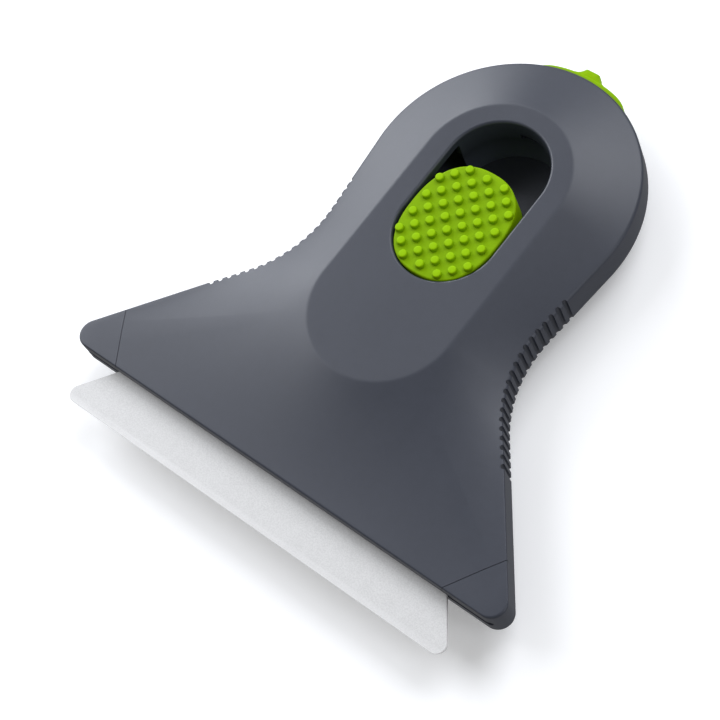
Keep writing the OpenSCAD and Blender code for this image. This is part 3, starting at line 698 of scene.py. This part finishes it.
room_x = catch_w / 2 + run_gap
rear_block = cut(
    joined(box((-head_r, block_y, -over), (head_r, head[1] + head_r + over, shelf_z)),
           box((-room_x, slot_rear_y, -over), (room_x, gate_y, gate_z))),
    rod(0, slot_rear_y, well_r, roof_t, part_z + over))
ribs = both_sides(box((rib_x, guide_y, -over), (guide_x + guide_w, guide_y + rib_l, rail_z)))
pedestal = box((-pedestal_w / 2, leaf_y - pedestal_l / 2, -over),
               (pedestal_w / 2, leaf_y + pedestal_l / 2, leaf_z))
inside = cut(turned_over(hollow(wall, top_z - part_z - over, oval_r - roof_t)),
             rear_block, ribs, pedestal)
tub = cut(turned_over(bulge(top_z - part_z)), inside,
          front_strip(seam_gap / 2, -over, wall + weld, mouth_z, part_z + over))
guard = shared(bulge(part_z - weld), past_seam(seam_gap / 2, part_z - weld - over, top_z))
cut(guard, hollow(cavity_d, part_z - over, oval_r), prism(outline(wall), part_z - over, part_z))
joined(tub, guard)

mouth_end = mouth_x - mouth_h / 2
cut(tub, joined(
    box((-mouth_end, -over, mouth_z), (mouth_end, wall + weld, lip_z)),
    both_sides(lying_rod(mouth_end, wall + weld, top_z / 2, mouth_h / 2, wall + weld + over))))
room_top = part_z + over
room = joined(
    box((-foot_w / 2 - run_gap, chamber_y, channel_z),
        (foot_w / 2 + run_gap, foot_y + foot_room, room_top)),
    box((-stem_w / 2 - run_gap, foot_y + stem_lead, channel_z),
        (stem_w / 2 + run_gap, gate_y + weld, room_top)),
    box((-room_x, gate_y, channel_z), (room_x, head[1] + head_r + over, room_top)),
    both_sides(lying_rod(spring_x, gate_y + weld, spring_z, pocket_r, pocket_l + weld)))
pilots = [rod(side * (guide_x + guide_w / 2), guide_y + y, pilot_r, rail_z - pilot_l, rail_z + over)
          for side in (1, -1) for y in guide_screws_y]
cut(tub, room, grooves(), *pilots, rod(0, leaf_y, pilot_r, leaf_z - pilot_l, leaf_z + over))


def well_painted_light(bench, place):
    """Painted light on the round wall of the well: a pool of light, lightest near its foot and
    fading upwards
    """
    parts = bench.node("ShaderNodeSeparateXYZ", {}, [place])
    x, y, z = parts.of("X"), parts.of("Y") - (slot_rear_y - origin_y) * MM, parts.of("Z")
    radius = (x * x + y * y).then("SQRT")
    inner, outer = well_r - well_light_edge, well_r + well_light_edge
    on_wall = ramp(bench, radius, (inner - well_light_edge) * MM, inner * MM) * (
        1 - ramp(bench, radius, outer * MM, (outer + well_light_edge) * MM))
    low = roof_t + 2 * well_light_edge
    return on_wall * ramp(bench, z, (low - well_light_edge) * MM, low * MM) * (
        1 - ramp(bench, z, low * MM, well_light_top_z * MM))


# The well's grey, with a pool of light painted lighter near the foot of its round wall
well_grey_painted_light = moulded("housing_grey_well_painted_light", grey, grey_roughness, grey_grain, grey_grain_depth,
                    grey_rub, painted_light_mask=well_painted_light)
settled(tub, "lower_housing_moulding", "housing", "housing_grey", well_grey_painted_light, "lower_housing")


# Thumb button
# A lime green plastic cap on the slider block: a flat rounded oval with a softened edge and round
# studs for grip. It is moulded in one with its skirt.
button_y = 51.15
button_a = 9.15
button_b = 10.9
oval_power = 2.4
button_sides = 192
cap_z = top_z - 0.3
cap_t = 1.2
cap_wall = 1.5
cap_foot_z = 7.9
cap_ease = 0.32
cap_ease_angles = (180, 157, 135, 112, 90)
cap_insets = (0.5, 1.2)
stud_step = 2.62 / math.sqrt(2)
stud_rows = 6
stud_margin = 0.94
# Painted highlight: the tops of the studs are painted lighter than the rest of the lime green
stud_painted_light_from = top_z + 0.15
stud_painted_light_to = top_z + 0.42
lime_green = moulded("lime_green", (0.207, 0.377, 0.0), 0.55, 0.22, 0.004, gloss=0.06,
                     painted_top_light=(stud_painted_light_from, stud_painted_light_to, 1.3))


def button_ring(inset, z):
    """Rounded oval of the button, drawn in by a distance"""
    def bulged(x):
        return math.copysign(abs(x) ** (2 / oval_power), x)
    return [((button_a - inset) * bulged(c), button_y + (button_b - inset) * bulged(s), z)
            for c, s in (turn(360 * s) for s in steps(button_sides))]


def on_button(m, n):
    """Whether a stud in a row and a column stands well inside the oval"""
    return (abs(m) * stud_step / button_a) ** oval_power + (
        abs(n) * stud_step / button_b) ** oval_power < stud_margin ** oval_power


eases = [(cap_ease * (1 + turn(a)[0]), cap_z - cap_ease + cap_ease * turn(a)[1])
         for a in cap_ease_angles]
button = skin("button", [button_ring(inset, z) for inset, z in (
    (cap_wall, cap_z - cap_t), (cap_wall, cap_foot_z), (0, cap_foot_z), *eases,
    *((inset, cap_z) for inset in cap_insets))])
rows = range(-stud_rows, stud_rows + 1)
studs = made("studs", [(m * stud_step, button_y + n * stud_step, cap_z) for m in rows for n in rows
                       if (m + n) % 2 and on_button(m, n)], [])
bench, got = recipe("studs", {
    "Radius": "Float", "Height": "Float", "Roundness": "Float", "Foot": "Float", "Sinking": "Float",
    "Finish": "Material"})
ball = bench.node("GeometryNodeMeshUVSphere", {}, {"Segments": 28, "Rings": 18, "Radius": 1.0})
parts = bench.node("ShaderNodeSeparateXYZ", {}, [bench.node("GeometryNodeInputPosition")])
x, y, z = parts.of("X"), parts.of("Y"), parts.of("Z")
spread = (x * x + y * y).then("SQRT").then("MAXIMUM", 0.0001)
up = z.then("MAXIMUM", 0.0)
radius = got["Radius"] * spread ** got["Roundness"] + got["Foot"] * (1 - up) ** 7.0
height = got["Height"] * up ** got["Roundness"] + z.then("MINIMUM", 0.0) * got["Sinking"]
shaped = bench.node("GeometryNodeSetPosition", {}, {"Geometry": ball, "Position": bench.node(
    "ShaderNodeCombineXYZ", {}, [x / spread * radius, y / spread * radius, height])})
grown(studs, bench, got, shaped, {
    "Radius": 0.77, "Height": 0.75, "Roundness": 0.33, "Foot": 0.05, "Sinking": 0.2,
    "Finish": lime_green})
bound = skin("bound", [button_ring(0.1, z) for z in (cap_z - 0.5, top_z + 1)])
joined(button, shared(studs, bound))
settled(button, "thumb_button_cap", "carrier", "lime_green", lime_green, "thumb_button", angle=40)


# Ceramic blade
# A pressed and sintered zirconia plate, flared to both sides. Its front edge is ground to a bevel
# from below, and its outline is ground square, which leaves a finer band along the edges.
blade_out = 8.75
blade_w = 87.6
blade_l = 20.8
blade_t = 0.8
blade_angle = 38.4
blade_r = 1.65
blade_corner_steps = 24
hole_x = 15
hole_y = 8
hole_r = 2
grind_l = 1.6
grind_h = 0.65
ground_from = 0.9
ground_to = 1.3
edge_bevel = 0.06

blade_z = (top_z - blade_t) / 2
tip_y = -blade_out
rear_y = tip_y + blade_l
rear_x = blade_w / 2 - blade_l * math.tan(math.radians(blade_angle))
centre = np.array([blade_w / 2 - blade_r / math.tan(math.radians(45 - blade_angle / 2)),
                   tip_y + blade_r])
plan = mirrored([np.array([0, tip_y])]
                + [centre + blade_r * turn(blend(-90, blade_angle, s))
                   for s in steps(blade_corner_steps) + [1]]
                + [np.array([rear_x, rear_y]), np.array([0, rear_y])])
blade = cut(prism(plan, blade_z, blade_z + blade_t),
            *(rod(x, hole_y, hole_r, blade_z - 1, blade_z + 2) for x in (hole_x, -hole_x)))
wedge = [(tip_y - over, blade_z + grind_h), (tip_y, blade_z + grind_h), (tip_y + grind_l, blade_z),
         (tip_y + grind_l, blade_z - over), (tip_y - over, blade_z - over)]
cut(blade, made("wedge", [(x, y, z) for x in (-corner_w / 2, corner_w / 2) for y, z in wedge],
                [(4, 3, 2, 1, 0), (5, 6, 7, 8, 9)]
                + [(i, (i + 1) % 5, (i + 1) % 5 + 5, i + 5) for i in range(5)]))
edges = blade.modifiers.new("edges", "BEVEL")
edges.width, edges.segments = edge_bevel, 2
edges.limit_method, edges.angle_limit = "ANGLE", math.radians(40)
evaluated(blade)

blade_ceramic, bench, place = material("blade_ceramic")
specks = noise(bench, place, 0.22, 3)
clouds = noise(bench, place, 3.5, 3)
marks = noise(bench, place, 0.5, 2, (0.04, 1, 1))
along = bench.node("ShaderNodeSeparateXYZ", {}, [place], out="Y")
ground = 1 - ramp(bench, along, (tip_y + ground_from - origin_y) * MM,
                  (tip_y + ground_to - origin_y) * MM)
tone = ramp(bench, specks * 0.85 + clouds * 0.15, 0.36, 0.62)
base = tinted(bench, tone, (0.56, 0.555, 0.545, 1), (0.65, 0.645, 0.635, 1))
coated(bench, Base_Color=tinted(bench, ground * marks * 0.6, base, (0.76, 0.755, 0.745, 1)),
       Roughness=0.5 - ground * 0.14 + (specks - 0.5) * 0.16,
       Normal=relief(bench, specks * (1 - ground) + marks * ground * 0.5, 0.012))
settled(blade, "ceramic_blade_plate", "carrier", "blade_ceramic", blade_ceramic, "blade", angle=20)


# Cover catch
# A lime green moulding in the rear window. Its curved plate stands a little out of the head and
# rounds off at both ends, and the nub in the middle takes the thumbnail.
catch_proud = 1
catch_r = head_r + catch_proud
catch_core_r = 23.5
catch_z = channel_z + run_gap
band_steps = 96
band_least = 0.02
band_profile = ((0.35, catch_z), (0.1, catch_z + 0.08), (0, catch_z + 0.35),
                (0, gate_z - 0.35), (0.1, gate_z - 0.08), (0.35, gate_z))
nub_profile = ((0.3, catch_z + 0.4), (0.08, catch_z + 0.5), (0, catch_z + 0.75),
               (0, gate_z - 0.75), (0.08, gate_z - 0.5), (0.3, gate_z - 0.4))


def band_ring(inset, z):
    """Section of the curved plate at a height, drawn in by a distance"""
    outer, inner = [], []
    for s in steps(band_steps) + [1]:
        x = blend(-catch_w / 2, catch_w / 2, s)
        proud = band_least + catch_proud * (1 - abs(2 * s - 1) ** 8)
        outer.append((x, head[1] + math.sqrt((head_r + proud - inset) ** 2 - x * x), z))
        inner.append((x, head[1] + math.sqrt((catch_core_r - weld) ** 2 - x * x), z))
    return outer + inner[::-1]


def nub_ring(inset, z):
    """Section of the nub at a height: a flat top, two round shoulders and a long foot each side"""
    half = [(0, 1.4 - inset), (1.1, 1.4 - inset), (1.36, 1.32 - inset),
            (1.52 - inset * 0.5, 1.1 - inset), (1.78 - inset, 0.7), (2.15 - inset, 0.36),
            (2.55 - inset, 0.12), (3.2 - inset, -0.05), (3.6 - inset, -0.4), (3.6 - inset, -1.2),
            (0, -1.2)]
    return [(x, head[1] + catch_r + y, z) for x, y in half + [(-x, y) for x, y in half[-2:0:-1]]]


inner_parts = nodes["cover_catch"].copy()
inner_parts.data = nodes["cover_catch"].data.copy()
inner_parts.parent = None
for key in list(inner_parts.keys()):
    del inner_parts[key]
inner_parts.data.transform(Matrix.Translation((0, origin_y, 0)) @ Matrix.Scale(1 / MM, 4))
bpy.context.scene.collection.objects.link(inner_parts)
shell = bmesh.new()
shell.from_mesh(inner_parts.data)
bmesh.ops.remove_doubles(shell, verts=shell.verts, dist=merge_d)
shell.to_mesh(inner_parts.data)
shell.free()
cut(inner_parts, cut(rod(0, head[1], catch_r + 3, 0, top_z),
                     rod(0, head[1], catch_core_r, -1, top_z + 1)))
catch = joined(skin("catch", [band_ring(*place) for place in band_profile]),
               skin("nub", [nub_ring(*place) for place in nub_profile]), inner_parts)
settled(catch, "cover_catch_tab", "catch", "lime_green", lime_green, "cover_catch")


# Catch springs
# Two coil springs of zinc plated wire stand in pockets of the rear block and push the catch out.
# They are wound on a mandrel and cut off plain, and pressing the catch shortens them.
coil_r = 0.95
coil_turns = 4.5
coil_l = 4.82
spring_y = gate_y - pocket_l

screw_steel, bench, place = material("screw_steel")
zinc = noise(bench, place, 0.25, 3)
clouds = noise(bench, place, 1.5, 2)
coated(bench, Metallic=1.0,
       Base_Color=tinted(bench, clouds, (0.6, 0.6, 0.6, 1), (0.7, 0.71, 0.74, 1)),
       Roughness=0.26 + zinc * 0.16, Normal=relief(bench, zinc, 0.003))

springs = made("springs", [(x, spring_y + wire_r, spring_z) for x in (-spring_x, spring_x)], [])
bench, got = recipe("springs", {
    "Turns": "Float", "Mean radius": "Float", "Wire radius": "Float", "Length": "Float",
    "Finish": "Material"})
middle = bench.node("GeometryNodeCurveSpiral", {}, {
    "Resolution": 24, "Rotations": got["Turns"], "Start Radius": got["Mean radius"],
    "End Radius": got["Mean radius"], "Height": got["Length"] - got["Wire radius"] * 2})
section = bench.node("GeometryNodeCurvePrimitiveCircle", {}, {
    "Resolution": 12, "Radius": got["Wire radius"]})
wound = bench.node("GeometryNodeCurveToMesh", {}, {
    "Curve": middle, "Profile Curve": section, "Fill Caps": True})
grown(springs, bench, got, wound, {
    "Turns": coil_turns, "Mean radius": coil_r, "Wire radius": wire_r, "Length": coil_l,
    "Finish": screw_steel}, rotation=(math.radians(-90), 0, 0))
settled(springs, "catch_spring_coils", "housing", "screw_steel", screw_steel, "catch_springs",
        angle=50)
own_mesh(springs)


# Parts inside the housing
# The stamped carrier, its clamp and the detent spring are rolled spring steel; the screws and pins
# are zinc plated as the coils are; the guides are white acetal and the slider block is black nylon.
guide_white = moulded("guide_white", (0.78, 0.78, 0.75), 0.36, 0.3, 0.003)
slider_black = moulded("slider_black", (0.017, 0.017, 0.019), 0.45, 0.2, 0.006)

sheet_steel, bench, place = material("sheet_steel")
grain = noise(bench, place, 0.35, 3, (1, 0.03, 1))
clouds = noise(bench, place, 4, 2)
coated(bench, Metallic=1.0,
       Base_Color=tinted(bench, grain, (0.5, 0.5, 0.51, 1), (0.68, 0.68, 0.69, 1)),
       Roughness=0.28 + grain * 0.12 + clouds * 0.08, Normal=relief(bench, grain, 0.004))

for finish, names in {
    guide_white: ("guide_left", "guide_right"),
    slider_black: ("slider_block",),
    sheet_steel: ("detent_spring", "blade_carrier", "blade_clamp"),
    screw_steel: ("guide_screws", "detent_screw", "locating_pins", "carrier_screws"),
}.items():
    for name in names:
        nodes[name].data.materials.clear()
        nodes[name].data.materials.append(finish)


# Studio
# A pale floor under soft light: two boxes on the left that the left slope and the front mirror, one
# overhead towards the rear, a strip near the right side and a bright room.
lamp_tint = (0.92, 0.945, 1.0)
floor_reach = 4
room_light = 0.3


def lamp(name, towards, distance, size, power):
    """Soft box in a direction from the tool, at a distance in metres"""
    light = bpy.data.lights.new(name, "AREA")
    light.shape, light.size, light.size_y, light.energy = "RECTANGLE", *size, power
    light.color = lamp_tint
    holder = bpy.data.objects.new(name, light)
    direction = Vector(towards).normalized()
    holder.location = direction * distance
    holder.rotation_euler = direction.to_track_quat("Z", "Y").to_euler()
    bpy.context.scene.collection.objects.link(holder)


lamp("rear softbox", (-0.89, 0.31, 0.37), 0.9, (0.8, 0.45), 6.3)
lamp("left softbox", (-0.74, -0.07, 0.66), 1.1, (0.7, 0.7), 4.7)
lamp("overhead softbox", (0.02, 0.71, 0.70), 1.2, (0.9, 0.8), 9.7)
lamp("near side softbox", (0.85, 0.2, 0.48), 1.2, (0.3, 0.9), 2.5)

floor = made("floor", [(x * floor_reach, y * floor_reach, 0)
                       for x, y in ((-1, -1), (1, -1), (1, 1), (-1, 1))], [(0, 1, 2, 3)])
pale, bench, place = material("pale_floor")
cloudy = tinted(bench, noise(bench, place, 40, 2), (0.9, 0.9, 0.9, 1), (0.92, 0.92, 0.92, 1))
coated(bench, Roughness=0.9, Base_Color=cloudy, Emission_Color=(1, 1, 1, 1), Emission_Strength=0.2)
floor.data.materials.append(pale)
floor.visible_glossy = False

world = bpy.data.worlds.new("room")
world.use_nodes = True
background = world.node_tree.nodes["Background"]
background.inputs["Color"].default_value = (1, 1, 1, 1)
background.inputs["Strength"].default_value = room_light
bpy.context.scene.world = world
bpy.context.scene.view_settings.view_transform = "Standard"


# Camera
# It stands to the front right of the tool, where the photograph was taken from, and looks down at
# it with the tool turned in the frame.
camera_place = (0.165958, -0.092083, 0.302441)
azimuth, elevation, roll = (math.radians(a) for a in (67.54305, 58.52605, -32.07606))

camera = bpy.data.objects.new("camera", bpy.data.cameras.new("camera"))
bpy.context.scene.collection.objects.link(camera)
bpy.context.scene.camera = camera
camera.data.lens = 104.59
camera.data.sensor_width = 36
camera.data.clip_start = 0.01
back = Vector((math.sin(azimuth) * math.cos(elevation), -math.cos(azimuth) * math.cos(elevation),
               math.sin(elevation)))
level_right = Vector((0, 0, 1)).cross(back).normalized()
level_up = back.cross(level_right)
right = level_right * math.cos(roll) + level_up * math.sin(roll)
upwards = level_up * math.cos(roll) - level_right * math.sin(roll)
camera.matrix_world = Matrix.Translation(camera_place) @ Matrix(
    (right, upwards, back)).transposed().to_4x4()
